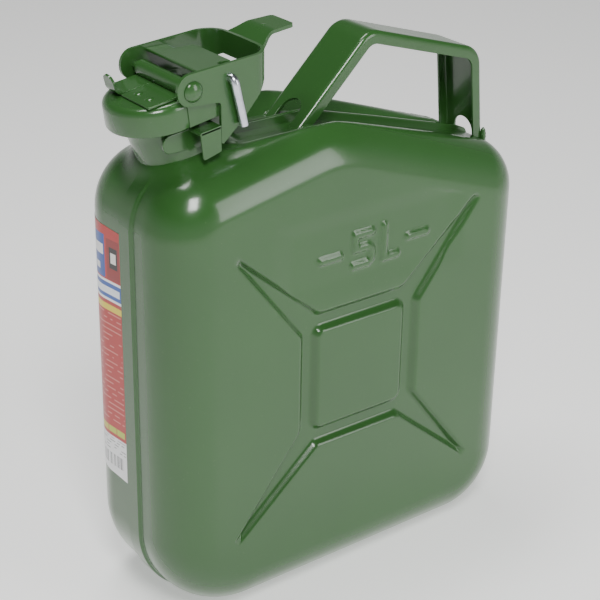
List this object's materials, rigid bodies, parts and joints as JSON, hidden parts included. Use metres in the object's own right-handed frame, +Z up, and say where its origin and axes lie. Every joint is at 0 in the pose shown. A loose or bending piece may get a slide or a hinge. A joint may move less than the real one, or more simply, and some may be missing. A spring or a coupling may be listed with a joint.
{
  "type": "jerry can",
  "caption": "Pressed-steel fuel can with a cross-embossed body, a strap handle, a hinged cam-lever cap and a wire locking pin.",
  "frame": {"origin": "middle of the flat underside of the can, on the floor", "axes": "+Z up, +Y through the can from the visible wide face to the other, +X along the wide face from the spout to the rear of the handle"},
  "size_m": [0.2489, 0.0946, 0.322],
  "materials": {
    "green_enamel": "glossy baked enamel, dark leaf green",
    "zinc_steel": "bright zinc-plated steel",
    "rubber_seal": "black fuel-resistant rubber",
    "paper_label": "laminated printed paper, red with plain blocks"
  },
  "bodies": {
    "root": {"front_shell": "green_enamel", "rear_shell": "green_enamel", "seam_flange": "green_enamel", "neck": "green_enamel", "vent_tube": "zinc_steel", "hinge_bracket": "green_enamel", "hinge_pin": "zinc_steel", "near_lug": "green_enamel", "far_lug": "green_enamel", "handle": "green_enamel", "label": "paper_label", "front_foot_weld_near": "green_enamel", "front_foot_weld_far": "green_enamel", "rear_foot_weld_near": "green_enamel", "rear_foot_weld_far": "green_enamel"},
    "cap": {"cap": "green_enamel", "gasket": "rubber_seal", "gasket_retainer": "zinc_steel", "cap_strap": "green_enamel", "rivet_pin": "green_enamel"},
    "lever": {"lever": "green_enamel", "lever_web": "green_enamel"},
    "lock": {"locking_wire": "zinc_steel"}
  },
  "joints": [
    {"name": "cap_hinge", "type": "hinge", "parent": "root", "child": "cap", "pos_m": [-0.0683, 0, 0.293], "axis": [0, 1, 0], "range_deg": [0, 90]},
    {"name": "lever_pivot", "type": "hinge", "parent": "cap", "child": "lever", "pos_m": [-0.0918, 0, 0.3038], "axis": [0, -1, 0], "range_deg": [0, 144]},
    {"name": "lock_slide", "type": "slide", "parent": "lever", "child": "lock", "axis": [0, -1, 0], "range_m": [0, 0.058]}
  ],
  "couplings": [
    {"joint": "lever_pivot", "follows": "cap_hinge", "ratio": 1.6}
  ]
}
